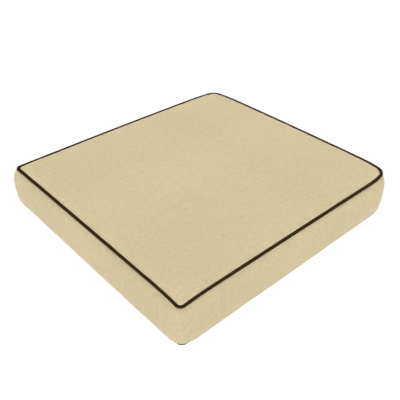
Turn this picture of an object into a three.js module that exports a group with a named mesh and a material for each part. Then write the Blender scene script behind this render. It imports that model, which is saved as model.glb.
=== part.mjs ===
// A box-edged dining chair cushion: one filled cover with a crowned top panel, a boxing strip that
// bulges between its two seams, and an underside that lies flat, with a ring of round piping laid
// in the upper seam and another in the lower seam.
//
// Units are millimetres and +Z is up. The origin is the middle of the underside, at the height of
// the surface that the cushion rests on. +X runs along the wider side and -Y towards the front.

import * as THREE from 'three';
import * as BufferGeometryUtils from 'three/addons/utils/BufferGeometryUtils.js';

// Driving dimensions of the cut and of the filled cushion.
const SEAM_WIDTH = 475;            // between the left and right seam lines, along X
const SEAM_DEPTH = 445;            // between the front and back seam lines, along Y
const BOXING_HEIGHT = 76;          // from the lower seam line up to the upper one
const LOWER_SEAM_HEIGHT = 5;       // the lower seam line above the resting surface
const PIPING_DIAMETER = 5.2;       // cord with its cover
const PIECE_GAP = 0.3;             // clearance between a piping and the cover

// Form of the boxing strip.
const BOXING_BULGE = 13.2;         // how far the filling pushes it out at mid height
const BULGE_SQUARENESS = 3.5;      // exponent of the bulge's superellipse, 2 being an ellipse
const LOWER_SEAM_TUCK = 1.5;       // how far the lower seam line lies inside the upper one

// Form of the upper seam line between its corners.
const SEAM_BOW = 0.35;             // outward bow at the middle of a side
const SEAM_LIFT = 1.3;             // rise at the middle of a side
const EAR_REACH = 29;              // how far along a side a corner's ear fades out
const DROOP_REACH = 41;            // the same for a corner's droop

// Form of the two panels.
const EDGE_ROLL_HEIGHT = 7.3;      // the top panel's rise just inside the piping
const EDGE_ROLL_REACH = 4.6;       // distance over which that rise fades out
const DOME_HEIGHT = 3.2;           // further rise of the panel's middle
const UNDERSIDE_ROLL_WIDTH = 15;   // width over which the underside comes down to rest
const PANEL_CORNER_RADIUS = 3;     // least corner radius of the panels' inner outlines

// One row for each corner. seamRadius is the radius of the seam line there, and rounding says how
// much that radius grows for each millimetre that the boxing stands out. upperEar and lowerEar are
// how far the two seam lines are pulled out along the diagonal (negative is drawn in), and droop
// is how far the upper seam line sinks.
const CORNERS = Object.values({
  frontLeft: { x: -1, y: -1, seamRadius: 6.4, rounding: 1.15, upperEar: 2.6, lowerEar: 1.35, droop: -1.2 },
  frontRight: { x: 1, y: -1, seamRadius: 17.4, rounding: 3, upperEar: -6.5, lowerEar: -6.5, droop: -0.1 },
  backRight: { x: 1, y: 1, seamRadius: 17.3, rounding: 1.9, upperEar: -2.5, lowerEar: -2.5, droop: 1.3 },
  backLeft: { x: -1, y: 1, seamRadius: 5.5, rounding: 1.36, upperEar: 0.2, lowerEar: 0.2, droop: -0.1 },
});

// How finely the surfaces are divided.
const CORNER_STEPS = 6;            // along each corner's arc
const SIDE_STEPS = 14;             // along each straight side
const PIPING_SIDES = 8;
const GROOVE_STEPS = 3;
const BOXING_STEPS = 14;
const UNDERSIDE_ROLL_STEPS = 4;
const EDGE_ROLL_DISTANCES = [1, 2.3, 4.2, 7, 11, 17];
const PANEL_STEPS = 5;             // from the end of the edge roll to the middle of the panel

// Colours from the photograph.
const COVER_CLOTH = { color: 0xd5c5a1, roughness: 0.92, metalness: 0 };
const PIPING_CLOTH = { color: 0x392b1a, roughness: 0.85, metalness: 0 };

const PIPING_RADIUS = PIPING_DIAMETER / 2;
// The groove's facets touch the circle that clears the piping, so no facet comes nearer.
const GROOVE_RADIUS = (PIPING_RADIUS + PIECE_GAP) / Math.cos(Math.PI / 4 / GROOVE_STEPS);
const UPPER_SEAM_HEIGHT = LOWER_SEAM_HEIGHT + BOXING_HEIGHT;

// Bell curve that is 1 at no distance and fades out over the given reach.
function bell(distance, reach) {
  return Math.exp(-((distance / reach) ** 2));
}

// Positions from 0 to 1 along a side, closer together near its two corners.
function sideFractions(steps) {
  const fractions = [];
  for (let i = 1; i < steps; i += 1) {
    const even = i / steps;
    const eased = (1 - Math.cos(Math.PI * even)) / 2;
    fractions.push((even + eased) / 2);
  }
  return fractions;
}

// Closed plan outline, counter-clockwise from above: a rounded rectangle that stands a distance
// outside the seam line (negative is inside), with its corners drawn out along the diagonal.
// radiusOf and earOf give each corner's radius and ear.
function planOutline({ outset, radiusOf, earOf }) {
  const halfWidth = SEAM_WIDTH / 2 + outset;
  const halfDepth = SEAM_DEPTH / 2 + outset;
  const arcs = CORNERS.map((corner, index) => {
    const radius = radiusOf(corner);
    const startAngle = Math.PI + (index * Math.PI) / 2;
    const points = [];
    for (let i = 0; i <= CORNER_STEPS; i += 1) {
      const angle = startAngle + (i / CORNER_STEPS) * (Math.PI / 2);
      points.push(new THREE.Vector2(
        corner.x * (halfWidth - radius) + radius * Math.cos(angle),
        corner.y * (halfDepth - radius) + radius * Math.sin(angle),
      ));
    }
    return points;
  });
  const outline = [];
  arcs.forEach((arc, index) => {
    outline.push(...arc);
    const start = arc[arc.length - 1];
    const end = arcs[(index + 1) % arcs.length][0];
    const outward = new THREE.Vector2(end.y - start.y, start.x - end.x).normalize();
    sideFractions(SIDE_STEPS).forEach((fraction) => {
      const point = start.clone().lerp(end, fraction);
      outline.push(point.addScaledVector(outward, SEAM_BOW * 4 * fraction * (1 - fraction)));
    });
  });
  return outline.map((point) => {
    const moved = point.clone();
    CORNERS.forEach((corner) => {
      const tip = new THREE.Vector2(corner.x * halfWidth, corner.y * halfDepth);
      const pull = (earOf(corner) * bell(point.distanceTo(tip), EAR_REACH)) / Math.SQRT2;
      moved.x += corner.x * pull;
      moved.y += corner.y * pull;
    });
    return moved;
  });
}

// Outward unit normals of a closed plan outline, from each point's two neighbours.
function planNormals(outline) {
  const count = outline.length;
  return outline.map((point, i) => {
    const before = outline[(i + count - 1) % count];
    const after = outline[(i + 1) % count];
    const back = point.clone().sub(before).normalize();
    const ahead = after.clone().sub(point).normalize();
    const along = back.add(ahead).normalize();
    return new THREE.Vector2(along.y, -along.x);
  });
}

// How far the surface over the upper seam line is lifted at a point of the plan: up at the middle
// of each side and of the whole panel, level at the corners, and sunk by each corner's droop.
function seamRise(point) {
  const across = (2 * point.x) / SEAM_WIDTH;
  const along = (2 * point.y) / SEAM_DEPTH;
  let rise = SEAM_LIFT * (1 - (across * along) ** 2);
  CORNERS.forEach((corner) => {
    const tip = new THREE.Vector2((corner.x * SEAM_WIDTH) / 2, (corner.y * SEAM_DEPTH) / 2);
    rise -= corner.droop * bell(point.distanceTo(tip), DROOP_REACH);
  });
  return rise;
}

// A seam line as stations: a point in space and the outward direction in plan.
function seamStations({ outset, earOf, height, riseOf }) {
  const outline = planOutline({
    outset,
    radiusOf: (corner) => corner.seamRadius,
    earOf,
  });
  const normals = planNormals(outline);
  return outline.map((point, i) => ({
    centre: new THREE.Vector3(point.x, point.y, height + riseOf(point)),
    outward: new THREE.Vector3(normals[i].x, normals[i].y, 0),
  }));
}

const upperSeam = seamStations({
  outset: 0,
  earOf: (corner) => corner.upperEar,
  height: UPPER_SEAM_HEIGHT,
  riseOf: seamRise,
});
const lowerSeam = seamStations({
  outset: -LOWER_SEAM_TUCK,
  earOf: (corner) => corner.lowerEar,
  height: LOWER_SEAM_HEIGHT,
  riseOf: () => 0,
});

// Points at one angle round a seam line: 0 is outwards, a quarter turn is upwards.
function aroundSeam(stations, radius, angle) {
  return stations.map(({ centre, outward }) => {
    const point = centre.clone().addScaledVector(outward, radius * Math.cos(angle));
    point.z += radius * Math.sin(angle);
    return point;
  });
}

// The groove that a piping lies in, from one angle round the seam to another, both included.
function grooveRings(stations, fromAngle, toAngle) {
  const rings = [];
  for (let i = 0; i <= GROOVE_STEPS; i += 1) {
    const angle = fromAngle + ((toAngle - fromAngle) * i) / GROOVE_STEPS;
    rings.push(aroundSeam(stations, GROOVE_RADIUS, angle));
  }
  return rings;
}

// The boxing strip from the lower groove up to the upper one, without those two edges. Its section
// is a superellipse, and its corners grow rounder as it stands out.
function boxingRings() {
  const rings = [];
  for (let i = 1; i < BOXING_STEPS; i += 1) {
    const turn = (Math.PI * (1 - Math.cos((Math.PI * i) / BOXING_STEPS))) / 2;
    const stance = Math.sin(turn) ** (2 / BULGE_SQUARENESS);
    const share = (1 - Math.cos(turn)) / 2;
    const bulge = BOXING_BULGE * stance;
    const outline = planOutline({
      outset: bulge - LOWER_SEAM_TUCK * (1 - share),
      radiusOf: (corner) => corner.seamRadius + corner.rounding * bulge,
      earOf: (corner) => THREE.MathUtils.lerp(corner.lowerEar, corner.upperEar, share) * (1 - stance),
    });
    rings.push(outline.map((point, station) => {
      const low = lowerSeam[station].centre.z + GROOVE_RADIUS;
      const high = upperSeam[station].centre.z - GROOVE_RADIUS;
      return new THREE.Vector3(point.x, point.y, THREE.MathUtils.lerp(low, high, share));
    }));
  }
  return rings;
}

// The plan outline that lies a distance inside a seam line, along a panel.
function panelOutline(distance, earOf) {
  return planOutline({
    outset: -distance,
    radiusOf: (corner) => Math.max(corner.seamRadius - distance, PANEL_CORNER_RADIUS),
    earOf,
  });
}

// The underside from its flat part out to the lower groove, without the groove's own edge.
function undersideRings() {
  const rings = [];
  for (let i = 0; i < UNDERSIDE_ROLL_STEPS; i += 1) {
    const inward = 1 - i / UNDERSIDE_ROLL_STEPS;
    const outline = panelOutline(
      LOWER_SEAM_TUCK + GROOVE_RADIUS + UNDERSIDE_ROLL_WIDTH * inward,
      (corner) => corner.lowerEar,
    );
    const height = LOWER_SEAM_HEIGHT * (1 - Math.sin((Math.PI / 2) * inward));
    rings.push(outline.map((point) => new THREE.Vector3(point.x, point.y, height)));
  }
  return rings;
}

// Height of the top panel at a point of the plan, a distance in from the groove.
function topPanelHeight(distance, point) {
  const roll = EDGE_ROLL_HEIGHT * (1 - Math.exp(-distance / EDGE_ROLL_REACH));
  const across = (2 * point.x) / SEAM_WIDTH;
  const along = (2 * point.y) / SEAM_DEPTH;
  const dome = DOME_HEIGHT * Math.max(0, 1 - across ** 2) * Math.max(0, 1 - along ** 2);
  return UPPER_SEAM_HEIGHT + seamRise(point) + roll + dome;
}

// A ring of the top panel over a plan outline, a distance in from the groove.
function topPanelRing(outline, distance) {
  return outline.map((point) => new THREE.Vector3(point.x, point.y, topPanelHeight(distance, point)));
}

// The top panel from the upper groove in to its last ring, without the groove's own edge: first
// the roll beside the piping, then rings that shrink towards the middle.
function topPanelRings() {
  const rings = EDGE_ROLL_DISTANCES.map((distance) => {
    const outline = panelOutline(GROOVE_RADIUS + distance, (corner) => corner.upperEar);
    return topPanelRing(outline, distance);
  });
  const lastRoll = rings[rings.length - 1];
  const rollWidth = EDGE_ROLL_DISTANCES[EDGE_ROLL_DISTANCES.length - 1];
  for (let i = 1; i < PANEL_STEPS; i += 1) {
    const shrink = 1 - i / PANEL_STEPS;
    const distance = rollWidth + (1 - shrink) * (SEAM_DEPTH / 2 - rollWidth);
    const outline = lastRoll.map((edge) => new THREE.Vector2(edge.x * shrink, edge.y * shrink));
    rings.push(topPanelRing(outline, distance));
  }
  return rings;
}

// Joins rings of points, each one outside the ring before it as seen along the surface, into
// triangles that face outwards.
function stitchRings(rings, positions) {
  for (let level = 0; level + 1 < rings.length; level += 1) {
    const near = rings[level];
    const far = rings[level + 1];
    near.forEach((a, i) => {
      const next = (i + 1) % near.length;
      const b = near[next];
      const c = far[next];
      const d = far[i];
      [a, b, c, a, c, d].forEach((vertex) => positions.push(vertex.x, vertex.y, vertex.z));
    });
  }
}

// A geometry whose shared vertices are merged, from a flat list of triangle corners.
function mergedGeometry(positions) {
  const geometry = new THREE.BufferGeometry();
  geometry.setAttribute('position', new THREE.Float32BufferAttribute(positions, 3));
  const merged = BufferGeometryUtils.mergeVertices(geometry, 1e-4);
  merged.computeVertexNormals();
  return merged;
}

// The filled cover: underside, lower groove, boxing, upper groove and crowned top as one skin.
function filledCoverGeometry() {
  const rings = [
    ...undersideRings(),
    ...grooveRings(lowerSeam, Math.PI, Math.PI / 2),
    ...boxingRings(),
    ...grooveRings(upperSeam, Math.PI * 1.5, Math.PI),
    ...topPanelRings(),
  ];
  const first = rings[0];
  const last = rings[rings.length - 1];
  const restPoint = new THREE.Vector3(0, 0, first[0].z);
  const summit = new THREE.Vector3(0, 0, topPanelHeight(SEAM_DEPTH / 2, new THREE.Vector2(0, 0)));
  const positions = [];
  first.forEach((point, i) => {
    const next = first[(i + 1) % first.length];
    [restPoint, next, point].forEach((vertex) => positions.push(vertex.x, vertex.y, vertex.z));
  });
  stitchRings(rings, positions);
  last.forEach((point, i) => {
    const next = last[(i + 1) % last.length];
    [point, next, summit].forEach((vertex) => positions.push(vertex.x, vertex.y, vertex.z));
  });
  return mergedGeometry(positions);
}

// A closed ring of round piping along a seam line.
function pipingGeometry(stations) {
  const rings = [];
  for (let i = 0; i <= PIPING_SIDES; i += 1) {
    const angle = ((i % PIPING_SIDES) / PIPING_SIDES) * Math.PI * 2;
    rings.push(aroundSeam(stations, PIPING_RADIUS, angle));
  }
  const positions = [];
  stitchRings(rings, positions);
  return mergedGeometry(positions);
}

// A named mesh with a matt cloth material of its own.
function clothPiece(name, geometry, { color, roughness, metalness }) {
  const piece = new THREE.Mesh(
    geometry,
    new THREE.MeshStandardMaterial({ color, roughness, metalness }),
  );
  piece.name = name;
  return piece;
}

const cushion = new THREE.Group();
cushion.name = 'dining_chair_cushion';
cushion.add(clothPiece('filled_cover', filledCoverGeometry(), COVER_CLOTH));
cushion.add(clothPiece('piping_upper', pipingGeometry(upperSeam), PIPING_CLOTH));
cushion.add(clothPiece('piping_lower', pipingGeometry(lowerSeam), PIPING_CLOTH));

export default cushion;
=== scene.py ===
"""Looks of a box-edged dining chair cushion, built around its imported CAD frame.

The cushion is a filled cover of tan cloth, crowned on top, bulging at the sides and flat where it
rests, with a dark cloth-covered piping sewn into its upper seam and another into its lower seam.
All lengths are metres. +X runs along the wider side, -Y towards the front and +Z upwards.
"""

import functools
import logging
import math
from dataclasses import dataclass, field
from enum import Enum

import bpy
import numpy as np
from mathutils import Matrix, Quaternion, Vector


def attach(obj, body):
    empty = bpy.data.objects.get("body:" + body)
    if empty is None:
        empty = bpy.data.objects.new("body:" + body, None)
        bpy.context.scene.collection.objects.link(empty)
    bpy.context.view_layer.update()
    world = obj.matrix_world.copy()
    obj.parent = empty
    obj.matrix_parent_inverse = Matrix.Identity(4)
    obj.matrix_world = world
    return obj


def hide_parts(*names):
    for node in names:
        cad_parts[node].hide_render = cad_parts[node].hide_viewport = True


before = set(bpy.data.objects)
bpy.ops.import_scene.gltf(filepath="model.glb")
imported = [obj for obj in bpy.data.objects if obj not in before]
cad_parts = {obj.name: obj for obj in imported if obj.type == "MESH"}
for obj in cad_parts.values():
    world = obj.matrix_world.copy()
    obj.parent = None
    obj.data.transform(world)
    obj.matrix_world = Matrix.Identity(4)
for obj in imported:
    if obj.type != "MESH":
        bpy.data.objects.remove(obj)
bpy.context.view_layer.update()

BODY = "root"
MM = 0.001
QUARTER = math.pi / 2

Socket = bpy.types.NodeSocket
PerCorner = tuple[float, float, float, float]

log = logging.getLogger("cushion")


class Seam(Enum):
    """The two sewn edges of the boxing strip."""

    UPPER = "piping_upper"
    LOWER = "piping_lower"


@dataclass(frozen=True)
class Corners:
    """The cushion's four corners, counter-clockwise from the front left, which is the near one.

    x and y are their places as shares of half the width and half the depth. seam_radius is the
    seam line's radius. rounding says how much that radius has grown, for each unit that the
    boxing stands out, where it is widest, and onset is the power of that stance by which it
    grows. upper_ear and lower_ear are how far the seam lines are pulled out along the diagonal.
    droop is how far the upper seam line sinks and curl how far the lower one lifts. nick is how
    far the boxing's lower edge is drawn up from its piping, cord is the piping's share of its
    plain thickness, and slack the share by which the top panel's roll is lower.
    """

    x: PerCorner = (-1, 1, 1, -1)
    y: PerCorner = (-0.9998, -0.9988, 0.9978, 0.995)
    seam_radius: PerCorner = (7.0 * MM, 17.4 * MM, 17.3 * MM, 5.5 * MM)
    rounding: PerCorner = (0.889, 2.83, 1.9, 1.27)
    onset: PerCorner = (0.7, 0.7, 0.7, 0.9)
    upper_ear: PerCorner = (3.3 * MM, -6.6 * MM, -2.5 * MM, 0.0)
    lower_ear: PerCorner = (1.5 * MM, -6.5 * MM, -2.5 * MM, 0.2 * MM)
    droop: PerCorner = (-1.2 * MM, -0.1 * MM, 1.3 * MM, -0.1 * MM)
    curl: PerCorner = (2.6 * MM, 0.0, 0.0, 0.0)
    nick: PerCorner = (2.0 * MM, 0.0, 0.0, 0.0)
    cord: PerCorner = (0.87, 1.11, 1.15, 1.15)
    slack: PerCorner = (0.0, 0.0, 0.2, 0.0)

    @property
    def signs(self) -> np.ndarray:
        """Corner by x, y, as shares of half the width and half the depth."""
        return np.stack([self.x, self.y], axis=1)


def bell(distance: np.ndarray, reach: float) -> np.ndarray:
    """Bell curve: e to the power of minus the square of distance over reach."""
    return np.exp(-((distance / reach) ** 2))


@dataclass(frozen=True)
class Stations:
    """Where the mesh's lines cross the plan outline.

    Each side runs from the middle of one corner's arc to the middle of the next one's, so the
    stations are also the border of a grid of across by along cells.
    """

    across: int = 156
    along: int = 144
    arc_steps: int = 12
    crowding: float = 0.65

    @property
    def count(self) -> int:
        """Number of stations round the whole outline."""
        return 2 * (self.across + self.along)

    @property
    def join(self) -> int:
        """Station at the middle of the rear side, where the strips' ends meet."""
        return self.across + self.along + self.across // 2

    def side(self, steps: int) -> tuple[np.ndarray, np.ndarray]:
        """Stations along one side, without its last one.

        Args:
            steps: number of stations on the side.

        Returns:
            part: 0 on the first half arc, 1 on the straight, 2 on the second half arc.
            share: from 0 to 1 along that part. On the straight it is an even spacing mixed with
                a cosine one, by crowding, so stations are closer near the corners.
        """
        index = np.arange(steps)
        straight = steps - 2 * self.arc_steps
        part = np.where(index < self.arc_steps, 0, np.where(index < steps - self.arc_steps, 1, 2))
        even = (index - self.arc_steps) / straight
        cosine = (1 - np.cos(np.pi * np.clip(even, 0, 1))) / 2
        eased = (1 - self.crowding) * even + self.crowding * cosine
        last = (index - (steps - self.arc_steps)) / self.arc_steps
        share = np.select([part == 0, part == 1], [index / self.arc_steps, eased], last)
        return part, share

    def table(self) -> tuple[np.ndarray, np.ndarray, np.ndarray]:
        """Side number, part and share of every station, counter-clockwise from the front left.

        Returns:
            Three arrays of one number a station.
        """
        steps = (self.across, self.along, self.across, self.along)
        sides = [np.full(n, k) for k, n in enumerate(steps)]
        parts, shares = zip(*(self.side(n) for n in steps))
        return np.concatenate(sides), np.concatenate(parts), np.concatenate(shares)


@dataclass(frozen=True)
class CushionForm:
    """Sizes of the cushion, and the curves that every piece is drawn from.

    width and depth are those of the upper seam line. bulge is how far the boxing stands out
    where it is widest, and squareness is that of its section. lower_tuck is how far the lower
    seam line lies inside the upper one, bow how far a side's middle stands out, and lift how
    much the upper seam line rises between two corners. The reaches of the ear, droop, curl, nick
    and slack are the distances over which a corner's change fades. The top panel rises beside
    its seam by roll_height, mostly within roll_reach, and in its middle by dome as well. Its
    roll is drawn over roll_width and the underside's over underside_roll. panel_radius is the
    smallest radius of a panel's corner.
    """

    width: float = 475 * MM
    depth: float = 445 * MM
    boxing_height: float = 76 * MM
    lower_seam_height: float = 5 * MM
    piping_radius: float = 2.6 * MM
    piece_gap: float = 0.1 * MM
    bulge: float = 13.5 * MM
    squareness: float = 3.5
    lower_tuck: float = 1.5 * MM
    bow: float = 0.35 * MM
    lift: float = 1.3 * MM
    ear_reach: float = 29 * MM
    droop_reach: float = 41 * MM
    curl_reach: float = 13 * MM
    nick_reach: float = 14 * MM
    roll_height: float = 7.3 * MM
    roll_reach: float = 4.6 * MM
    roll_width: float = 17 * MM
    slack_reach: float = 25 * MM
    dome: float = 3.2 * MM
    underside_roll: float = 15 * MM
    panel_radius: float = 3 * MM
    stations: Stations = field(default_factory=Stations)
    corners: Corners = field(default_factory=Corners)

    @property
    def half(self) -> np.ndarray:
        """Half the width and half the depth."""
        return np.array([self.width, self.depth]) / 2

    @property
    def upper_seam_height(self) -> float:
        """Height of the upper seam line above the resting surface."""
        return self.lower_seam_height + self.boxing_height

    @property
    def cord(self) -> np.ndarray:
        """Radius of the piping.

        Returns:
            A radius for each station, mixed between those of the side's two corners.
        """
        side, part, share = self.stations.table()
        shares = np.array(self.corners.cord)
        mix = np.where(part == 0, 0.0, np.where(part == 1, share, 1.0))
        return self.piping_radius * (shares[side] * (1 - mix) + shares[(side + 1) % 4] * mix)

    @property
    def groove(self) -> np.ndarray:
        """Radius of the groove that a piping lies in, at every station."""
        return self.cord + self.piece_gap

    def outline(self, outset: float, radii: np.ndarray, ears: np.ndarray) -> np.ndarray:
        """Plan outline: a rounded rectangle whose corners are drawn out along the diagonal.

        A point on an arc is the arc's centre plus the radius along its angle, and a point on a
        straight is a mix of the straight's two ends. A bow of 4 s (1 - s) is added on a
        straight, and each corner pulls points outwards by a bell curve of their distance.

        Args:
            outset: how far the outline stands outside the seam line; negative is inside.
            radii: the four corners' radii.
            ears: the four corners' pulls.

        Returns:
            Array of station by x, y.
        """
        side, part, share = self.stations.table()
        half, signs = self.half + outset, self.corners.signs
        centres = signs * (half - radii[:, None])
        facing = (side - 1) * QUARTER
        normal = np.stack([np.cos(facing), np.sin(facing)], axis=1)
        after = (side + 1) % 4
        angle = facing + QUARTER / 2 * np.where(part == 0, share - 1, share)
        ray = np.stack([np.cos(angle), np.sin(angle)], axis=1)
        owner = np.where(part == 2, after, side)
        arc = centres[owner] + radii[owner][:, None] * ray
        start = centres[side] + radii[side][:, None] * normal
        end = centres[after] + radii[after][:, None] * normal
        mix = share[:, None]
        straight = start + (end - start) * mix + normal * (self.bow * 4 * mix * (1 - mix))
        points = np.where((part == 1)[:, None], straight, arc)
        tips = signs * half
        reach = np.linalg.norm(points[:, None] - tips[None], axis=2)
        pull = ears * bell(reach, self.ear_reach) / math.sqrt(2)
        return points + pull @ signs

    def rise(self, points: np.ndarray) -> np.ndarray:
        """Lift of the surface over the upper seam line.

        Args:
            points: any array of x, y.

        Returns:
            lift times one minus the square of (2x / width)(2y / depth), less the droops near
            the corners.
        """
        spread = (points[..., :2] / self.half).prod(axis=-1)
        sunk = self.near_corners(points, self.corners.droop, self.droop_reach)
        return self.lift * (1 - spread ** 2) - sunk

    def near_corners(self, points: np.ndarray, amounts: PerCorner, reach: float) -> np.ndarray:
        """Adds up what the four corners do to the points near them.

        Args:
            points: any array of x, y.
            amounts: what each corner does at its tip.
            reach: distance over which that fades, by a bell curve.

        Returns:
            A number for each point.
        """
        total = np.zeros(points.shape[:-1])
        for tip, amount in zip(self.corners.signs * self.half, amounts):
            total += amount * bell(np.linalg.norm(points[..., :2] - tip, axis=-1), reach)
        return total

    def lower_level(self, points: np.ndarray) -> np.ndarray:
        """Height of the lower seam line: level, but for the corners that curl up."""
        return self.lower_seam_height + self.near_corners(points, self.corners.curl, self.curl_reach)

    def seam(self, which: Seam) -> tuple[np.ndarray, np.ndarray]:
        """Seam line and its outward directions.

        Args:
            which: the upper or the lower seam.

        Returns:
            line: array of station by x, y, z.
            outward: array of station by unit x, y, 0, from each station's two neighbours.
        """
        upper = which is Seam.UPPER
        ears = np.array(self.corners.upper_ear if upper else self.corners.lower_ear)
        radii = np.array(self.corners.seam_radius)
        plan = self.outline(0.0 if upper else -self.lower_tuck, radii, ears)
        ahead = np.roll(plan, -1, axis=0) - plan
        ahead /= np.linalg.norm(ahead, axis=1, keepdims=True)
        tangent = ahead + np.roll(ahead, 1, axis=0)
        tangent /= np.linalg.norm(tangent, axis=1, keepdims=True)
        outward = np.stack([tangent[:, 1], -tangent[:, 0], np.zeros(len(plan))], axis=1)
        level = self.upper_seam_height + self.rise(plan) if upper else self.lower_level(plan)
        return np.column_stack([plan, level]), outward

    def around(self, which: Seam, radius: np.ndarray, angles: np.ndarray) -> np.ndarray:
        """Rings round a seam line: line + radius (outward cos angle + up sin angle).

        Args:
            which: the upper or the lower seam.
            radius: the rings' radius at every station.
            angles: each ring's angle, 0 being outwards and a quarter turn up.

        Returns:
            Array of angle by station by x, y, z.
        """
        line, outward = self.seam(which)
        up = np.array([0.0, 0.0, 1.0])
        turn = np.cos(angles)[:, None, None] * outward + np.sin(angles)[:, None, None] * up
        return line + radius[:, None] * turn

    def boxing(self, steps: int) -> np.ndarray:
        """Boxing strip between its two grooves, without their edges.

        In section it is a superellipse: at a turn t from 0 to pi it stands out by bulge times
        sin t to the power of 2 over the squareness, at the share (1 - cos t) / 2 of its height.
        A corner's radius has grown by that stance to the power of its onset.

        Args:
            steps: number of cells from groove to groove.

        Returns:
            Array of ring by station by x, y, z.
        """
        corners, lower = self.corners, self.seam(Seam.LOWER)[0]
        low_ears, high_ears = np.array(corners.lower_ear), np.array(corners.upper_ear)
        low = lower[:, 2] + self.groove + self.near_corners(lower, corners.nick, self.nick_reach)
        high = self.seam(Seam.UPPER)[0][:, 2] - self.groove
        rings = []
        for step in np.arange(1, steps) / steps:
            turn = np.pi * (1 - math.cos(np.pi * step)) / 2
            stance = math.sin(turn) ** (2 / self.squareness)
            share = (1 - math.cos(turn)) / 2
            grown = self.bulge * np.array(corners.rounding) * stance ** np.array(corners.onset)
            radii = np.array(corners.seam_radius) + grown
            ears = (low_ears + (high_ears - low_ears) * share) * (1 - stance)
            outset = self.bulge * stance - self.lower_tuck * (1 - share)
            plan = self.outline(outset, radii, ears)
            rings.append(np.column_stack([plan, low + (high - low) * share]))
        return np.stack(rings)

    def panel_outline(self, distance: float, ears: PerCorner) -> np.ndarray:
        """Plan outline of a panel.

        It is drawn inside the plain groove's, and then moved in by the thickness that the piping
        has over its plain one.

        Args:
            distance: how far inside the groove it lies.
            ears: the pulls of the panel's corners.

        Returns:
            Array of station by x, y.
        """
        inset = distance + self.piping_radius + self.piece_gap
        radii = np.maximum(np.array(self.corners.seam_radius) - inset, self.panel_radius)
        plan = self.outline(-inset, radii, np.array(ears))
        return plan - plan / self.half * (self.cord - self.piping_radius)[:, None]

    def top_height(self, distance: np.ndarray, points: np.ndarray) -> np.ndarray:
        """Height of the top panel.

        It is the seam's height and rise, plus a roll of 1 - e to the power of minus distance
        over reach, less each corner's slack, plus a dome of (1 - x2)(1 - y2) with x2 and y2 the
        squares of 2x / width and 2y / depth.

        Args:
            distance: how far inside the groove each point lies.
            points: any array of x, y.

        Returns:
            A height for each point.
        """
        dome = self.dome * np.clip(1 - (points[..., :2] / self.half) ** 2, 0, None).prod(axis=-1)
        full = 1 - self.near_corners(points, self.corners.slack, self.slack_reach)
        roll = self.roll_height * full * (1 - np.exp(-distance / self.roll_reach))
        return self.upper_seam_height + self.rise(points) + roll + dome


@dataclass
class CoverSurface:
    """The cover as three joined nets of points: underside, band and top.

    band is ring by station by xyz, from the edge of the underside's flat part up to the edge of
    the top panel's middle. The two grids are across by along by xyz, and share their border
    with the band's first and last ring.
    """

    band: np.ndarray
    top: np.ndarray
    underside: np.ndarray

    def numbers(self) -> tuple[np.ndarray, np.ndarray, np.ndarray]:
        """Vertex numbers of the three nets, the borders being shared.

        Returns:
            band: ring by station.
            top: across by along.
            underside: across by along.
        """
        rings, stations = self.band.shape[:2]
        band = np.arange(rings * stations).reshape(rings, stations)
        count = band.size
        found = [band]
        for grid, edge in ((self.top, band[-1]), (self.underside, band[0])):
            border = border_index(grid.shape[0] - 1, grid.shape[1] - 1)
            inside = border < 0
            index = edge[np.where(inside, 0, border) % stations]
            index[inside] = count + np.arange(inside.sum())
            count += inside.sum()
            found.append(index)
        return tuple(found)

    def points(self) -> np.ndarray:
        """The nets as one list of vertices.

        Returns:
            Vertex by xyz.
        """
        numbers = self.numbers()
        points = np.empty((max(index.max() for index in numbers) + 1, 3))
        for index, net in zip(numbers, (self.band, self.top, self.underside)):
            points[index] = net
        return points

    def quads(self) -> np.ndarray:
        """The faces, facing outwards.

        Returns:
            Face by four vertex numbers: band, top, underside.
        """
        _, top, underside = self.numbers()
        band = band_quads(*self.band.shape[:2])
        return np.concatenate([band, grid_cells(top), grid_cells(underside)[:, ::-1]])

    def carrying(self, values: np.ndarray) -> "CoverSurface":
        """The same nets with other values at their vertices."""
        return CoverSurface(*(values[index] for index in self.numbers()))

    def thinned(self, step: int) -> "CoverSurface":
        """Every step-th row and column of each net."""
        return CoverSurface(*(net[::step, ::step] for net in (self.band, self.top, self.underside)))

    def refined(self, step: int) -> "CoverSurface":
        """Every cell of each net cut into step by step even cells."""
        return CoverSurface(refined_net(self.band, step, True), refined_net(self.top, step, False),
                            refined_net(self.underside, step, False))


def refined_net(net: np.ndarray, step: int, closed: bool) -> np.ndarray:
    """A net with even points between its own, by linear mixing along both of its axes.

    Args:
        net: row by column by value.
        step: number of new cells to an old one.
        closed: whether the last column is joined to the first one.

    Returns:
        The finer net, whose every step-th row and column are the old ones.
    """
    if closed:
        net = np.concatenate([net, net[:, :1]], axis=1)
    for axis in (0, 1):
        cells = net.shape[axis] - 1
        place = np.arange(cells * step + 1) / step
        low = np.minimum(place.astype(int), cells - 1)
        share = (place - low).reshape((-1, 1, 1) if axis == 0 else (1, -1, 1))
        net = net.take(low, axis) * (1 - share) + net.take(low + 1, axis) * share
    return net[:, :-1] if closed else net


def border_index(across: int, along: int) -> np.ndarray:
    """Station number of each border point of a grid.

    Stations run counter-clockwise from the grid's first corner: along the front, up the right,
    back along the rear and down the left.

    Args:
        across: number of cells along X.
        along: number of cells along Y.

    Returns:
        Array of across + 1 by along + 1, with -1 inside.
    """
    index = np.full((across + 1, along + 1), -1)
    index[:, 0] = np.arange(across + 1)
    index[across, :] = across + np.arange(along + 1)
    index[:, along] = across + along + (across - np.arange(across + 1))
    index[0, 1:] = 2 * across + along + (along - np.arange(1, along + 1))
    return index


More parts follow.
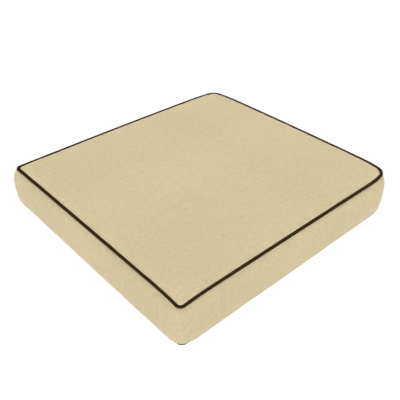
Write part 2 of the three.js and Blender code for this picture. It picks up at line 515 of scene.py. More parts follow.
def filled_grid(border: np.ndarray, across: int, along: int) -> np.ndarray:
    """Grid inside a closed border, by transfinite interpolation.

    Each inner point is the mix of the two facing border points across, plus the mix of the two
    along, less the mix of the four corners.

    Args:
        border: station by value.
        across: number of cells along X.
        along: number of cells along Y.

    Returns:
        Array of across + 1 by along + 1 by value.
    """
    index = border_index(across, along)
    front, rear = border[index[:, 0]], border[index[:, -1]]
    left, right = border[index[0, :]], border[index[-1, :]]
    u = (np.arange(across + 1) / across)[:, None, None]
    v = (np.arange(along + 1) / along)[None, :, None]
    sides = (1 - v) * front[:, None] + v * rear[:, None] + (1 - u) * left[None] + u * right[None]
    ends = ((1 - u) * (1 - v) * front[0] + u * (1 - v) * front[-1]
            + (1 - u) * v * rear[0] + u * v * rear[-1])
    return sides - ends


class MeshMaker:
    """Turns arrays of points, faces and map coordinates into mesh objects."""

    @staticmethod
    def build(name: str, points: np.ndarray, quads: np.ndarray,
              maps: dict[str, np.ndarray] | None = None) -> bpy.types.Object:
        """A smooth-shaded object at the origin, with its place in its mesh.

        Args:
            name: the piece's name.
            points: vertex by xyz.
            quads: face by four vertex numbers.
            maps: for each map's name, face by corner by u, v in metres.

        Returns:
            The new object.
        """
        mesh = bpy.data.meshes.new(name)
        mesh.vertices.add(len(points))
        mesh.vertices.foreach_set("co", points.astype(np.float32).ravel())
        mesh.loops.add(quads.size)
        mesh.loops.foreach_set("vertex_index", quads.astype(np.int32).ravel())
        mesh.polygons.add(len(quads))
        mesh.polygons.foreach_set("loop_start", (np.arange(len(quads)) * 4).astype(np.int32))
        mesh.update(calc_edges=True)
        mesh.polygons.foreach_set("use_smooth", np.ones(len(quads), bool))
        for key, places in (maps or {}).items():
            layer = mesh.uv_layers.new(name=key)
            layer.data.foreach_set("uv", places.astype(np.float32).ravel())
        mesh.validate()
        piece = bpy.data.objects.new(name, mesh)
        bpy.context.scene.collection.objects.link(piece)
        return piece


def lengths_round(ring: np.ndarray, join: int) -> tuple[np.ndarray, np.ndarray]:
    """Lengths along a closed ring.

    Args:
        ring: station by xyz.
        join: station that the lengths are counted from.

    Returns:
        starts: length from the join to every station.
        spans: length from every station to the next one.
    """
    spans = np.linalg.norm(np.roll(ring, -1, axis=0) - ring, axis=1)
    before = np.concatenate([[0], np.cumsum(np.roll(spans, -join))[:-1]])
    return np.roll(before, join), spans


def band_places(starts: np.ndarray, spans: np.ndarray, heights: np.ndarray) -> np.ndarray:
    """Map places of a closed band's quads.

    Args:
        starts: u of every station.
        spans: length in u from every station to the next one.
        heights: ring by station by v.

    Returns:
        Face by corner by u, v, in the order of band_quads.
    """
    after = np.roll(heights, -1, axis=1)
    near = np.broadcast_to(starts, heights[1:].shape)
    far = near + spans
    corners = ((near, heights[:-1]), (far, after[:-1]), (far, after[1:]), (near, heights[1:]))
    return np.stack([np.stack(c, axis=-1) for c in corners], axis=2).reshape(-1, 4, 2)


def smoothed(values: np.ndarray, quads: np.ndarray, passes: int) -> np.ndarray:
    """Values after each pass has mixed every vertex's own half and half with its neighbours' mean.

    Args:
        values: vertex by value.
        quads: face by four vertex numbers, of a closed mesh.
        passes: number of passes.

    Returns:
        Vertex by value.
    """
    own, other = quads.ravel(), np.roll(quads, -1, axis=1).ravel()
    count = np.bincount(own, minlength=len(values))[:, None]
    for _ in range(passes):
        near = [np.bincount(own, column[other], len(values)) for column in values.T]
        values = (values + np.stack(near, axis=1) / count) / 2
    return values


def grid_cells(grid: np.ndarray) -> np.ndarray:
    """Cells of a grid, with their corners counter-clockwise when rows run along X.

    Args:
        grid: row by column, by anything.

    Returns:
        Cell by corner, by anything.
    """
    corners = (grid[:-1, :-1], grid[1:, :-1], grid[1:, 1:], grid[:-1, 1:])
    return np.stack([corner.reshape(-1, *grid.shape[2:]) for corner in corners], axis=1)


def band_quads(rings: int, stations: int) -> np.ndarray:
    """Quads between neighbouring rings of a closed band, facing outwards.

    Args:
        rings: number of rings.
        stations: number of points on a ring.

    Returns:
        Face by four vertex numbers.
    """
    index = np.arange(rings * stations).reshape(rings, stations)
    wrapped = np.concatenate([index, index[:, :1]], axis=1)
    return np.roll(grid_cells(wrapped)[:, ::-1], 1, axis=1)


class Graph:
    """A node tree, with short calls for the nodes that the finishes and the studio use."""

    def __init__(self, owner: bpy.types.Material | bpy.types.World) -> None:
        """Opens the node tree of a new material or world."""
        owner.use_nodes = True
        self.tree = owner.node_tree

    def node(self, kind: str, **settings: object) -> bpy.types.Node:
        """Adds a node.

        Args:
            kind: the name of its type.
            settings: its plain settings.

        Returns:
            The node.
        """
        node = self.tree.nodes.new(kind)
        for key, value in settings.items():
            setattr(node, key, value)
        return node

    def fill(self, node: bpy.types.Node, inputs: dict[str, object]) -> bpy.types.Node:
        """Feeds several inputs of a node.

        Args:
            node: the node.
            inputs: an output or a plain value for each input's name.

        Returns:
            The same node.
        """
        for name, value in inputs.items():
            self.feed(node.inputs[name], value)
        return node

    def feed(self, socket: Socket, value: object) -> None:
        """Feeds one input.

        Args:
            socket: the input.
            value: an output, which is linked, or a plain value, which is set.
        """
        if isinstance(value, Socket):
            self.tree.links.new(value, socket)
        else:
            socket.default_value = value

    def math(self, operation: str, *values: object) -> Socket:
        """Adds a Math node.

        Args:
            operation: what it does.
            values: its inputs, each an output or a plain number.

        Returns:
            Its result.
        """
        node = self.node("ShaderNodeMath", operation=operation)
        for socket, value in zip(node.inputs, values):
            self.feed(socket, value)
        return node.outputs[0]

    def chain(self, operation: str, *values: object) -> Socket:
        """Result of a Math operation over several numbers, from the first one on."""
        return functools.reduce(lambda done, value: self.math(operation, done, value), values)

    def spread(self, value: Socket, amount: float) -> Socket:
        """A number's distance from a half, doubled and times an amount."""
        return self.math("MULTIPLY", self.math("SUBTRACT", value, 0.5), 2 * amount)

    def fade(self, distance: Socket, reach: object) -> Socket:
        """e to the power of minus distance over reach."""
        return self.math("EXPONENT", self.math("MULTIPLY", self.math("DIVIDE", distance, reach), -1.0))

    def mix(self, share: object, first: object, second: object) -> Socket:
        """Number between first and second, by a share from 0 to 1."""
        node = self.node("ShaderNodeMapRange", clamp=False)
        return self.fill(node, {"Value": share, "To Min": first, "To Max": second}).outputs[0]

    def vector(self, x: object, y: object, z: object = 0.0) -> Socket:
        """Joins three numbers, each an output or a plain one.

        Args:
            x: first number.
            y: second number.
            z: third number.

        Returns:
            The vector.
        """
        node = self.node("ShaderNodeCombineXYZ")
        for socket, value in zip(node.inputs, (x, y, z)):
            self.feed(socket, value)
        return node.outputs[0]

    def split(self, place: Socket) -> list[Socket]:
        """Splits a vector.

        Args:
            place: the vector.

        Returns:
            Its three numbers.
        """
        node = self.node("ShaderNodeSeparateXYZ")
        self.feed(node.inputs[0], place)
        return list(node.outputs)

    def map_place(self, name: str) -> Socket:
        """Place on one of the mesh's maps."""
        return self.node("ShaderNodeUVMap", uv_map=name).outputs[0]

    def noise(self, place: Socket, scale: float, detail: float = 2.0,
              roughness: float = 0.5) -> Socket:
        """Soft noise around a half, at a scale in waves per unit of place."""
        settings = {"Vector": place, "Scale": scale, "Detail": detail, "Roughness": roughness}
        return self.fill(self.node("ShaderNodeTexNoise"), settings).outputs[0]

    def random(self, place: Socket) -> Socket:
        """Draws a fixed random number for each place.

        Args:
            place: the place.

        Returns:
            A number from 0 to 1.
        """
        node = self.node("ShaderNodeTexWhiteNoise", noise_dimensions="3D")
        self.feed(node.inputs["Vector"], place)
        return node.outputs["Value"]


class Draw(Enum):
    """Places and steps in the noise that keep its draws apart."""

    WARP_STRAY = 3.7
    WEFT_STRAY = 9.1
    FIBRE = 5.2
    SLUB = 7.31
    THREAD = (0.5, 2.5)
    STITCH = 6.5


@dataclass(frozen=True)
class PlainWeave:
    """A plain weave on a piece's cloth map.

    pitch is the distance between threads and depth the height of a crossing. fibre is the relief
    of the twisted fibres as a share of it. wander is how far the threads stray, in stray_rate
    waves to a thread. thread_tone, stitch_tone and slub_tone are the spread of tone from thread
    to thread, from crossing to crossing and along a thread, and turn is the angle of the threads
    on the map. flank is the power that rounds a thread's section, and arch the share of its
    height by which it sinks between crossings. The fibres run at a slant: their relief has lay
    waves to a thread's width along it and across it, and strands waves across it alone.
    """

    pitch: float
    depth: float
    fibre: float
    wander: float
    thread_tone: float
    stitch_tone: float
    slub_tone: float
    slub_length: float
    turn: float = 0.0
    stray_rate: float = 0.12
    flank: float = 0.6
    arch: float = 0.45
    lay: tuple[float, float] = (1.56, 3.38)
    strands: float = 3.9

    def threads(self, graph: Graph) -> tuple[Socket, Socket]:
        """Adds the weave's nodes.

        The cloth is cut into square cells, one to a crossing. On every second cell the warp is
        on top, and on the others the weft.

        Args:
            graph: the material.

        Returns:
            height: from 0 to 1 but for the fibres.
            tone: around 0, the share by which the thread on top is lighter or darker.
        """
        places = self.strayed(graph)
        cells = [graph.math("FLOOR", place) for place in places]
        on_top = graph.math("PINGPONG", graph.math("ADD", *cells), 1.0)
        heights = self.heights(graph, places)
        tones = [self.yarn_tone(graph, *pair) for pair in zip(cells, places[::-1])]
        stitch = graph.random(graph.vector(*cells, Draw.STITCH.value))
        tone = graph.math("ADD", graph.mix(on_top, *tones), graph.spread(stitch, self.stitch_tone))
        return graph.mix(on_top, *heights), tone

    def strayed(self, graph: Graph) -> list[Socket]:
        """Adds the straying of the threads.

        Args:
            graph: the material.

        Returns:
            The places across the warp and across the weft, counted in threads.
        """
        settings = {"Vector": graph.map_place("cloth"), "Rotation": (0, 0, self.turn)}
        cloth = graph.fill(graph.node("ShaderNodeMapping"), settings).outputs[0]
        places = []
        for straight, draw in zip(graph.split(cloth), (Draw.WARP_STRAY, Draw.WEFT_STRAY)):
            shifted = graph.node("ShaderNodeVectorMath", operation="ADD")
            graph.feed(shifted.inputs[0], cloth)
            shifted.inputs[1].default_value = (draw.value,) * 3
            wave = graph.noise(shifted.outputs[0], self.stray_rate / self.pitch)
            place = graph.math("ADD", straight, graph.spread(wave, self.wander / 2))
            places.append(graph.math("DIVIDE", place, self.pitch))
        return places

    def heights(self, graph: Graph, places: list[Socket]) -> list[Socket]:
        """Heights of the warp and of the weft.

        A thread's height is the cosine of its distance from its middle, to the power of flank,
        times an arch along it, plus the relief of its fibres.

        Args:
            graph: the material.
            places: the places across the warp and the weft.

        Returns:
            The two heights, from 0 to 1 but for the fibres.
        """
        waves = []
        for place in places:
            inside = graph.math("SUBTRACT", graph.math("FRACT", place), 0.5)
            waves.append(graph.math("COSINE", graph.math("MULTIPLY", inside, math.pi)))
        heights = []
        for (across, along), (own, other) in ((places, waves), (places[::-1], waves[::-1])):
            section = graph.math("POWER", graph.math("MAXIMUM", own, 0.0), self.flank)
            arch = graph.math("MULTIPLY_ADD", other, self.arch, 1 - self.arch)
            slant = graph.math("MULTIPLY", across, self.lay[1])
            twist = graph.math("MULTIPLY_ADD", along, self.lay[0], slant)
            spot = graph.vector(twist, graph.math("MULTIPLY", across, self.strands), Draw.FIBRE.value)
            strand = graph.spread(graph.noise(spot, 1.0, 1.0), self.fibre)
            heights.append(graph.math("MULTIPLY_ADD", section, arch, strand))
        return heights

    def yarn_tone(self, graph: Graph, thread: Socket, along: Socket) -> Socket:
        """Tone of the threads.

        Args:
            graph: the material.
            thread: the thread's number.
            along: the place along it, counted in threads.

        Returns:
            The thread's own tone plus that of its slubs, around 0.
        """
        length = graph.math("DIVIDE", along, self.slub_length / self.pitch)
        spot = graph.vector(graph.math("MULTIPLY", thread, Draw.SLUB.value), length)
        slub = graph.spread(graph.noise(spot, 1.0, 1.0), self.slub_tone)
        own = graph.random(graph.vector(thread, *Draw.THREAD.value))
        return graph.math("ADD", slub, graph.spread(own, self.thread_tone))


@dataclass(frozen=True)
class ToneWave:
    """A soft wave of tone along one axis: depth times the cosine of the turns since its crest."""

    axis: int
    length: float
    crest: float
    depth: float

    def tone(self, graph: Graph, place: Socket) -> Socket:
        """Adds the wave.

        Args:
            graph: the material.
            place: the place in metres.

        Returns:
            The tone, around 0.
        """
        along = graph.math("SUBTRACT", graph.split(place)[self.axis], self.crest)
        turn = graph.math("MULTIPLY", along, 2 * math.pi / self.length)
        return graph.math("MULTIPLY", graph.math("COSINE", turn), self.depth)


@dataclass(frozen=True)
class SeamWork:
    """Puckers beside the seams and the boxing's join, and painted light and shade beside them.

    stitch is the length of a stitch, depth the height of its pucker and reach the distance over
    which that fades. The height changes over uneven_over stitches. The panel's tone is painted
    light: its cloth is drawn lighter beside the seam. The boxing's tone is painted shade: its cloth
    is drawn darker just below the piping. Both fade over their reaches. crease is the width of the
    boxing's join, sink its depth, and the join's painted shade how much darker the crease is drawn.
    """

    stitch: float = 3.6 * MM
    depth: float = 0.13 * MM
    reach: float = 3.5 * MM
    uneven_over: float = 3.0
    # Painted light beside the panel's seam, and painted shade on the boxing below the piping.
    panel_painted_light: float = 0.1
    panel_reach: float = 3.2 * MM
    boxing_painted_shade: float = -0.08
    boxing_reach: float = 5.5 * MM
    crease: float = 0.8 * MM
    sink: float = 0.4 * MM
    # Painted shade in the crease of the join.
    painted_shading: float = 0.25

    def relief(self, graph: Graph) -> tuple[Socket, Socket]:
        """Adds the seam's nodes.

        A pucker is depth times a cosine along the seam, uneven by a slow noise, and fades by e
        to the power of minus distance over reach. The crease is minus sink times e to the power
        of minus the square of the distance from the join over its width.

        Args:
            graph: the material.

        Returns:
            height: in metres.
            tone: around 0, the painted light and painted shade by which the cloth is drawn lighter or
                darker beside the seams and in the join.
        """
        along, away, _ = graph.split(graph.map_place("seam"))
        distance = graph.math("ABSOLUTE", away)
        on_boxing = graph.math("GREATER_THAN", away, 0.0)
        wave = graph.math("COSINE", graph.math("MULTIPLY", along, 2 * math.pi / self.stitch))
        uneven = graph.noise(graph.vector(along, away), 1 / (self.uneven_over * self.stitch), 1.0)
        faded = graph.fade(distance, self.reach)
        pucker = graph.chain("MULTIPLY", wave, faded, uneven, 2 * self.depth)
        # The crease of the boxing's join. The cloth in it is drawn darker as painted shade, in the
        # return below.
        offset = graph.math("DIVIDE", along, self.crease)
        near = graph.fade(graph.math("MULTIPLY", offset, offset), 1.0)
        crease = graph.math("MULTIPLY", near, on_boxing)
        # Painted light on the panel beside its seam, and painted shade on the boxing just below the
        # piping, fading away from the groove.
        reach = graph.mix(on_boxing, self.panel_reach, self.boxing_reach)
        tone = graph.mix(on_boxing, self.panel_painted_light, self.boxing_painted_shade)
        beside = graph.math("MULTIPLY", graph.fade(distance, reach), tone)
        height = graph.math("MULTIPLY_ADD", crease, -self.sink, pucker)
        return height, graph.math("MULTIPLY_ADD", crease, -self.painted_shading, beside)


@dataclass(frozen=True)
class ClothFinish:
    """A matt woven finish.

    colour is linear. valley is the painted shade in the gaps between threads: how much darker they
    are drawn. fleck and cloud are the spread of tone over a few millimetres and over a few
    centimetres, and waves are the soft changes of tone over a quarter of a metre. fuzz is the relief
    of loose fibres as a share of the weave's. The rates are in waves to the metre, and fleck_detail
    is the detail and the roughness of the flecks' noise. seams is what sewing does to the cloth,
    with the painted light and shade beside the seams.
    """

    name: str
    colour: tuple[float, float, float]
    weave: PlainWeave
    gap_painted_shade: float
    fleck: float
    fleck_size: float
    cloud: float
    roughness: float
    gloss: float
    sheen: float
    waves: tuple[ToneWave, ...] = ()
    seams: SeamWork | None = None
    fleck_detail: tuple[float, float] = (3.0, 0.6)
    cloud_rate: float = 14.0
    fuzz: float = 0.25
    fuzz_rate: float = 2600.0
    sheen_roughness: float = 0.6

    def material(self) -> bpy.types.Material:
        """Builds the finish.

        Its tone is 1 + thread + fleck + cloud + waves + seams - valley (1 - height), where the seams
        bring painted light and shade and valley is the painted shade between threads.

        Returns:
            The material.
        """
        material = bpy.data.materials.new(self.name)
        graph = Graph(material)
        place = graph.node("ShaderNodeTexCoord").outputs["Object"]
        height, thread = self.weave.threads(graph)
        flecks = graph.noise(place, 1 / self.fleck_size, *self.fleck_detail)
        clouds = graph.noise(place, self.cloud_rate, 1.0)
        # Painted shade: the gaps between threads are drawn darker, by how low the weave is there.
        gap_painted_shade = graph.math("MULTIPLY", graph.math("SUBTRACT", height, 1.0), self.gap_painted_shade)
        tones = [thread, graph.spread(flecks, 2 * self.fleck), graph.spread(clouds, 2 * self.cloud),
                 gap_painted_shade, 1.0, *(wave.tone(graph, place) for wave in self.waves)]
        fibres = graph.math("MULTIPLY", graph.noise(place, self.fuzz_rate, 1.0), self.fuzz)
        relief = graph.math("MULTIPLY", graph.math("ADD", height, fibres), self.weave.depth)
        if self.seams:
            # The seams' puckers, and their painted light and shade beside the piping and in the join.
            sewn, painted_shading = self.seams.relief(graph)
            relief = graph.math("ADD", relief, sewn)
            tones.append(painted_shading)
        tint = graph.node("ShaderNodeVectorMath", operation="SCALE")
        tint.inputs[0].default_value = self.colour
        graph.feed(tint.inputs["Scale"], graph.chain("ADD", *tones))
        bump = graph.node("ShaderNodeBump")
        graph.fill(bump, {"Strength": 1.0, "Distance": 1.0, "Height": relief})
        graph.fill(graph.tree.nodes["Principled BSDF"], {
            "Base Color": tint.outputs[0], "Normal": bump.outputs[0], "Roughness": self.roughness,
            "Specular IOR Level": self.gloss, "Sheen Weight": self.sheen,
            "Sheen Roughness": self.sheen_roughness})
        return material


COVER_CLOTH = ClothFinish(
    name="cover_cloth",
    colour=(0.6338, 0.5259, 0.3297),
    weave=PlainWeave(pitch=0.9 * MM, depth=0.16 * MM, fibre=0.25, wander=0.5 * MM, thread_tone=0.02,
                     stitch_tone=0.045, slub_tone=0.035, slub_length=3.5 * MM),
    # Painted shade in the gaps between threads.
    gap_painted_shade=0.16,
    fleck=0.061,
    fleck_size=6.4 * MM,
    cloud=0.006,
    roughness=0.92,
    gloss=0.15,
    sheen=0.04,
    waves=(ToneWave(axis=0, length=250 * MM, crest=-41 * MM, depth=0.008),
           ToneWave(axis=1, length=260 * MM, crest=2 * MM, depth=0.013)),
    # Puckers, plus painted light and shade beside the seams and in the join.
    seams=SeamWork(),
)

PIPING_CLOTH = ClothFinish(
    name="piping_cloth",
    colour=(0.0375, 0.0196, 0.0071),
    weave=PlainWeave(pitch=0.55 * MM, depth=0.13 * MM, fibre=0.2, wander=0.2 * MM, thread_tone=0.14,
                     stitch_tone=0.2, slub_tone=0.12, slub_length=5 * MM, turn=math.radians(45)),
    # Painted shade in the gaps between threads.
    gap_painted_shade=0.42,
    fleck=0.04,
    fleck_size=1.5 * MM,
    cloud=0.0,
    roughness=0.85,
    gloss=0.03,
    sheen=0.0,
)


def unrolled(rings: np.ndarray) -> np.ndarray:
    """Flat places of rings that surround a panel, the first ring being its edge.

    Args:
        rings: ring by station by xyz, from the panel outwards.

    Returns:
        Array of ring by station by u, v: the edge's x and y, plus the plan direction away from
        it times the length along the rings.
    """
    plan = rings[..., :2]
    away = plan[len(rings) // 2] - plan[0]
    away = away / np.linalg.norm(away, axis=1, keepdims=True)
    return plan[0] + away * section_lengths(rings)[..., None]


@dataclass(frozen=True)
class FillingPressure:
    """Pushes a drawn cover out from inside, as its filling does, with a cloth simulation.

    slack is the share by which the cloth is cut larger than the drawn form, and hold the
    strength of the springs that tie the free cloth to its drawn place. The drawn form is that of
    a firm filling, so the broad part of the movement is taken out, and a share of the rest is
    kept, up to a cap: the puckers beside the seams and the gathers of the boxing.
    """

    step: int = 3
    frames: int = 20
    pressure: float = 4.0
    slack: float = 0.015
    hold: float = 0.05
    stiffness: float = 1.0
    bending: float = 2.0
    broad_passes: int = 40
    soft_passes: int = 5
    share: float = 0.12
    cap: float = 0.6 * MM

    def simulated(self, net: CoverSurface, pinned: np.ndarray) -> np.ndarray:
        """Movement of a net's vertices under the pressure.

        Args:
            net: the coarse cover.
            pinned: whether each vertex is sewn down or at rest.

        Returns:
            Vertex by xyz.
        """
        points = net.points()
        trial = MeshMaker.build("filling_trial", points, net.quads())
        group = trial.vertex_groups.new(name="hold")
        group.add(np.flatnonzero(pinned).tolist(), 1.0, "REPLACE")
        group.add(np.flatnonzero(~pinned).tolist(), self.hold, "REPLACE")
        cloth = trial.modifiers.new("filling", "CLOTH")
        cloth.settings.vertex_group_mass = group.name
        cloth.settings.pin_stiffness = self.stiffness
        cloth.settings.shrink_min = -self.slack
        cloth.settings.bending_stiffness = self.bending
        cloth.settings.use_pressure = True
        cloth.settings.uniform_pressure_force = self.pressure
        cloth.settings.effector_weights.gravity = 0.0
        cloth.collision_settings.use_collision = False
        cloth.point_cache.frame_start = 1
        cloth.point_cache.frame_end = self.frames
        scene = bpy.context.scene
        for number in range(1, self.frames + 1):
            scene.frame_set(number)
        settled = trial.evaluated_get(bpy.context.evaluated_depsgraph_get()).to_mesh()
        moved = np.empty(3 * len(points), np.float32)
        settled.vertices.foreach_get("co", moved)
        scene.frame_set(1)
        mesh = trial.data
        bpy.data.objects.remove(trial)
        bpy.data.meshes.remove(mesh)
        return moved.reshape(-1, 3) - points

    def settle(self, drawn: CoverSurface, held: CoverSurface) -> CoverSurface:
        """The cover after its simulation.

        Args:
            drawn: the drawn cover.
            held: nets of one value, 1 where the cover is sewn down or at rest and 0 elsewhere.

        Returns:
            The drawn cover, moved by the kept part of the simulated movement.
        """
        net = drawn.thinned(self.step)
        moved = self.simulated(net, held.thinned(self.step).points()[:, 0] > 0)
        local = self.share * (moved - smoothed(moved, net.quads(), self.broad_passes))
        length = np.linalg.norm(local, axis=1, keepdims=True) / self.cap
        local *= np.tanh(length) / np.maximum(length, 1e-9)
        raw, kept = (np.abs(part).max() / MM for part in (moved, local))
        log.info("filling: moved up to %.1f mm, kept up to %.2f mm", raw, kept)
        refined = net.carrying(local).refined(self.step).points()
        fine = smoothed(refined, drawn.quads(), self.soft_passes)
        points = drawn.points() + fine * (1 - held.points())
        points[:, 2] = np.maximum(points[:, 2], 0)
        return drawn.carrying(points)


def section_lengths(rings: np.ndarray) -> np.ndarray:
    """Length along a band's sections from its first ring: ring by station."""
    steps = np.linalg.norm(np.diff(rings, axis=0), axis=2)
    return np.concatenate([np.zeros((1, rings.shape[1])), np.cumsum(steps, axis=0)])


@dataclass
class FilledCover:
    """The filled cover: top panel, boxing strip and bottom panel as one closed padded form."""

    form: CushionForm
    name: str = "cushion_cover"
    node: str = "filled_cover"
    slot: str = "cover_cloth"
    fill: float = 0.85
    boxing_steps: int = 42
    groove_steps: int = 6
    underside_steps: int = 12
    roll_steps: int = 18
    roll_crowding: float = 1.6
    filling: FillingPressure = field(default_factory=FillingPressure)

    def surface(self) -> CoverSurface:
        """Draws the form, before its cloth is simulated.

        Returns:
            The cover's three nets.
        """
        form, corners = self.form, self.form.corners
        rings = []
        for inward in 1 - np.arange(self.underside_steps) / self.underside_steps:
            distance = form.lower_tuck + form.underside_roll * inward
            plan = form.panel_outline(distance, corners.lower_ear)
            height = form.lower_level(plan) * (1 - math.sin(QUARTER * inward))
            rings.append(np.column_stack([plan, height])[None])
        quarter = np.linspace(0, QUARTER, self.groove_steps + 1)
        rings.append(form.around(Seam.LOWER, form.groove, math.pi - quarter))
        rings.append(form.boxing(self.boxing_steps))
        rings.append(form.around(Seam.UPPER, form.groove, 1.5 * math.pi - quarter))
        for step in np.arange(1, self.roll_steps + 1) / self.roll_steps:
            distance = form.roll_width * step ** self.roll_crowding
            plan = form.panel_outline(distance, corners.upper_ear)
            height = form.top_height(np.array(distance), plan)
            rings.append(np.column_stack([plan, height])[None])
        band = np.concatenate(rings)
        return CoverSurface(band, self.top_grid(band[-1]), self.flat_grid(band[0]))

    def held(self, surface: CoverSurface) -> CoverSurface:
        """Tells where the cover can't move.

        Args:
            surface: the drawn cover.

        Returns:
            Nets of one value: 1 in both grooves and at rest, 0 elsewhere.
        """
        band = np.zeros(surface.band.shape[:2] + (1,))
        upper = self.underside_steps + self.groove_steps + self.boxing_steps
        for first in (self.underside_steps, upper):
            band[first:first + self.groove_steps + 1] = 1
        band[0] = 1
        return CoverSurface(band, np.zeros(surface.top.shape[:2] + (1,)),
                            np.ones(surface.underside.shape[:2] + (1,)))

    def top_grid(self, border: np.ndarray) -> np.ndarray:
        """Middle of the top panel, inside the last ring of its roll.

        Args:
            border: station by xyz.

        Returns:
            Array of across + 1 by along + 1 by xyz.
        """
        form, stations = self.form, self.form.stations
        plan = filled_grid(border[:, :2], stations.across, stations.along)
        half = np.abs(border[:, :2]).max(axis=0)
        inner = np.clip(1 - (plan / half) ** 2, 0, None).prod(axis=-1)
        height = form.top_height(form.roll_width * (1 + inner), plan)
        return np.concatenate([plan, height[..., None]], axis=-1)

    def flat_grid(self, border: np.ndarray) -> np.ndarray:
        """Flat middle of the underside, where the cushion rests."""
        stations = self.form.stations
        return filled_grid(border, stations.across, stations.along)

    def cloth_map(self, surface: CoverSurface) -> np.ndarray:
        """Map places in metres of cloth.

        On a panel they are x and y, unrolled outside its last ring: a ring's point lies beyond
        that ring's by the length of the section between them. On the boxing they are the length
        round it from its join, and the length up its section.

        Args:
            surface: the cover.

        Returns:
            Face by corner by u, v, in the order of the quads.
        """
        band = surface.band
        lower = self.underside_steps + self.groove_steps // 2
        upper = band.shape[0] - self.roll_steps - 1 - self.groove_steps // 2
        starts, spans = lengths_round(band[(lower + upper) // 2], self.form.stations.join)
        boxing = band_places(starts, spans, section_lengths(band[lower:upper + 1]))
        nets = [unrolled(band[:lower + 1]), unrolled(band[:upper - 1:-1])[::-1]]
        rims = [np.stack([net, np.roll(net, -1, axis=1)], axis=2) for net in nets]
        rims = [np.concatenate([rim[:-1], rim[1:, :, ::-1]], axis=2) for rim in rims]
        rims = [rim.reshape(-1, 4, 2) for rim in rims]
        top = grid_cells(surface.top[..., :2])
        underside = grid_cells(surface.underside[..., :2])[:, ::-1]
        return np.concatenate([rims[0], boxing, rims[1], top, underside])

    def seam_map(self, surface: CoverSurface) -> np.ndarray:
        """Map places beside the seams.

        u is the length round from the boxing's join, and v the distance from the nearest groove:
        above 0 on the boxing and below 0 on the panels, whose middles are simply far away.

        Args:
            surface: the cover.

        Returns:
            Face by corner by u, v, in the order of the quads.
        """
        length = section_lengths(surface.band)
        foot, far = self.underside_steps, surface.band.shape[0] - 1 - self.roll_steps
        low, high = foot + self.groove_steps, far - self.groove_steps
        ring = np.arange(len(length))[:, None]
        boxing = np.minimum(length - length[low], length[high] - length)
        panels = np.where(ring < foot, length - length[foot], length[far] - length)
        outside = np.where((ring < foot) | (ring > far), panels, 0)
        away = np.where((ring > low) & (ring < high), boxing, outside)
        stations = self.form.stations
        starts, spans = lengths_round(surface.band[high], stations.join)
        cells = 2 * stations.across * stations.along
        middle = np.broadcast_to([0.0, -self.form.width], (cells, 4, 2))
        return np.concatenate([band_places(starts, spans, away), middle])

    def make(self) -> bpy.types.Object:
        """Returns:
            The object.
        """
        surface = self.surface()
        surface = self.filling.settle(surface, self.held(surface))
        maps = {"cloth": self.cloth_map(surface), "seam": self.seam_map(surface)}
        piece = MeshMaker.build(self.name, surface.points(), surface.quads(), maps)
        piece.data.materials.append(COVER_CLOTH.material())
        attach(piece, BODY)
        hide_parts(self.node)
        return piece


@dataclass
class Piping:
    """A cord in a cloth cover, sewn into one of the two seams."""

    form: CushionForm
    seam: Seam
    slot: str = "piping_cloth"
    sides: int = 20

    def make(self) -> bpy.types.Object:
        """Returns:
            The object.
        """
        angles = np.arange(self.sides) / self.sides * 2 * np.pi
        rings = self.form.around(self.seam, self.form.cord, angles)
        points = rings.reshape(-1, 3)
        quads = band_quads(self.sides + 1, self.form.stations.count) % len(points)
        maps = {"cloth": self.cloth_map()}
        piece = MeshMaker.build(f"{self.seam.value}_cover", points, quads, maps)
        piece.data.materials.append(PIPING_CLOTH.material())
        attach(piece, BODY)
        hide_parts(self.seam.value)
        return piece

    def cloth_map(self) -> np.ndarray:
        """Map places in metres of cloth.

        Returns:
            Face by corner by u, v: the length along the seam line and the length round the cord.
        """
        starts, spans = lengths_round(self.form.seam(self.seam)[0], self.form.stations.join)
        around = np.linspace(0, 2 * np.pi * self.form.piping_radius, self.sides + 1)
        return band_places(starts, spans, np.repeat(around[:, None], len(starts), axis=1))


@dataclass(frozen=True)
class Lamp:
    """A soft far lamp: where it shines from and how wide it spreads, in degrees."""

    name: str
    azimuth: float
    elevation: float
    spread: float
    energy: float
    shadow: bool


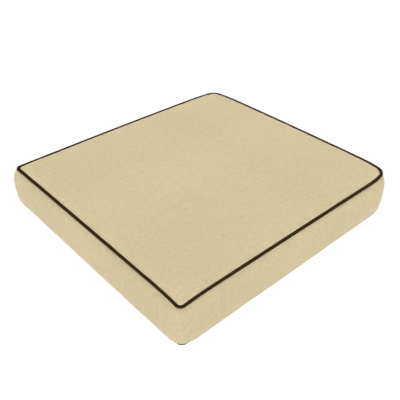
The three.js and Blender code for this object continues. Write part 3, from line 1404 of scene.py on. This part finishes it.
@dataclass
class Studio:
    """Pale floor, soft even light and the camera."""

    azimuth: float = -41.849
    elevation: float = 35.634
    camera_place: tuple[float, float, float] = (-0.54848, -0.60765, 0.60371)
    lens: float = 49.89
    sensor: float = 36.0
    nearest: float = 10 * MM
    floor_reach: float = 6.0
    floor_drop: float = 0.2 * MM
    floor_glow: float = 1.02
    surroundings: float = 0.34
    lamps: tuple[Lamp, ...] = (
        Lamp("fill_above", azimuth=0.0, elevation=89.9, spread=175.0, energy=2.2, shadow=False),
        Lamp("fill_below", azimuth=0.0, elevation=-89.9, spread=175.0, energy=2.6, shadow=False),
        Lamp("key", azimuth=-49.0, elevation=45.0, spread=40.0, energy=0.55, shadow=True),
    )

    @staticmethod
    def facing(azimuth: float, elevation: float) -> Quaternion:
        """Turn of a camera or a lamp that looks at the cushion.

        Args:
            azimuth: where it stands round the cushion from the front, in degrees.
            elevation: how high it stands, in degrees.

        Returns:
            The rotation that turns its -Z towards the cushion and keeps its Y upwards.
        """
        azimuth, elevation = math.radians(azimuth), math.radians(elevation)
        back = Vector((math.sin(azimuth) * math.cos(elevation),
                       -math.cos(azimuth) * math.cos(elevation),
                       math.sin(elevation)))
        return (-back).to_track_quat("-Z", "Y")

    def camera(self) -> None:
        """Camera at the photograph's angle to the cushion."""
        data = bpy.data.cameras.new("camera")
        data.lens = self.lens
        data.sensor_width = self.sensor
        camera = bpy.data.objects.new("camera", data)
        camera.location = self.camera_place
        camera.rotation_mode = "QUATERNION"
        camera.rotation_quaternion = self.facing(self.azimuth, self.elevation)
        data.clip_start = self.nearest
        bpy.context.scene.collection.objects.link(camera)
        bpy.context.scene.camera = camera

    def floor(self) -> None:
        """Large pale floor, a hair below the cushion and see-through from underneath."""
        reach, level = self.floor_reach, -self.floor_drop
        tips = [(x * reach, y * reach, level) for x, y in ((-1, -1), (1, -1), (1, 1), (-1, 1))]
        mesh = bpy.data.meshes.new("floor")
        mesh.from_pydata(tips, [], [(0, 1, 2, 3)])
        material = bpy.data.materials.new("floor")
        graph = Graph(material)
        glow = graph.fill(graph.tree.nodes["Principled BSDF"], {
            "Base Color": (0, 0, 0, 1), "Roughness": 1.0, "Specular IOR Level": 0.0,
            "Emission Color": (1, 1, 1, 1), "Emission Strength": self.floor_glow})
        below = graph.node("ShaderNodeNewGeometry").outputs["Backfacing"]
        clear = graph.node("ShaderNodeBsdfTransparent").outputs[0]
        either = graph.node("ShaderNodeMixShader")
        for socket, value in zip(either.inputs, (below, glow.outputs[0], clear)):
            graph.feed(socket, value)
        graph.feed(graph.tree.nodes["Material Output"].inputs["Surface"], either.outputs[0])
        mesh.materials.append(material)
        floor = bpy.data.objects.new("floor", mesh)
        bpy.context.scene.collection.objects.link(floor)
        floor.visible_diffuse = False
        floor.visible_glossy = False

    def light(self) -> None:
        """White backdrop and the lamps."""
        world = bpy.data.worlds.new("backdrop")
        graph = Graph(world)
        seen = graph.node("ShaderNodeLightPath").outputs["Is Camera Ray"]
        strength = graph.mix(seen, self.surroundings, 1.0)
        graph.fill(graph.tree.nodes["Background"], {"Color": (1, 1, 1, 1), "Strength": strength})
        bpy.context.scene.world = world
        for lamp in self.lamps:
            data = bpy.data.lights.new(lamp.name, "SUN")
            data.energy = lamp.energy
            data.angle = math.radians(lamp.spread)
            data.use_shadow = lamp.shadow
            data.cycles.use_multiple_importance_sampling = lamp.shadow
            light = bpy.data.objects.new(lamp.name, data)
            light.rotation_mode = "QUATERNION"
            light.rotation_quaternion = self.facing(lamp.azimuth, lamp.elevation)
            bpy.context.scene.collection.objects.link(light)
        bpy.context.scene.view_settings.view_transform = "Standard"

    def make(self) -> None:
        """Sets the whole studio."""
        self.camera()
        self.floor()
        self.light()


def main() -> None:
    """Builds every piece in order."""
    logging.basicConfig(level=logging.INFO, format="%(name)s: %(message)s")
    Studio().make()
    form = CushionForm()
    cover = FilledCover(form).make()
    log.info("%s: %d faces", cover.name, len(cover.data.polygons))
    for seam in Seam:
        ring = Piping(form, seam).make()
        log.info("%s: %d faces", ring.name, len(ring.data.polygons))


if __name__ == "__main__":
    main()
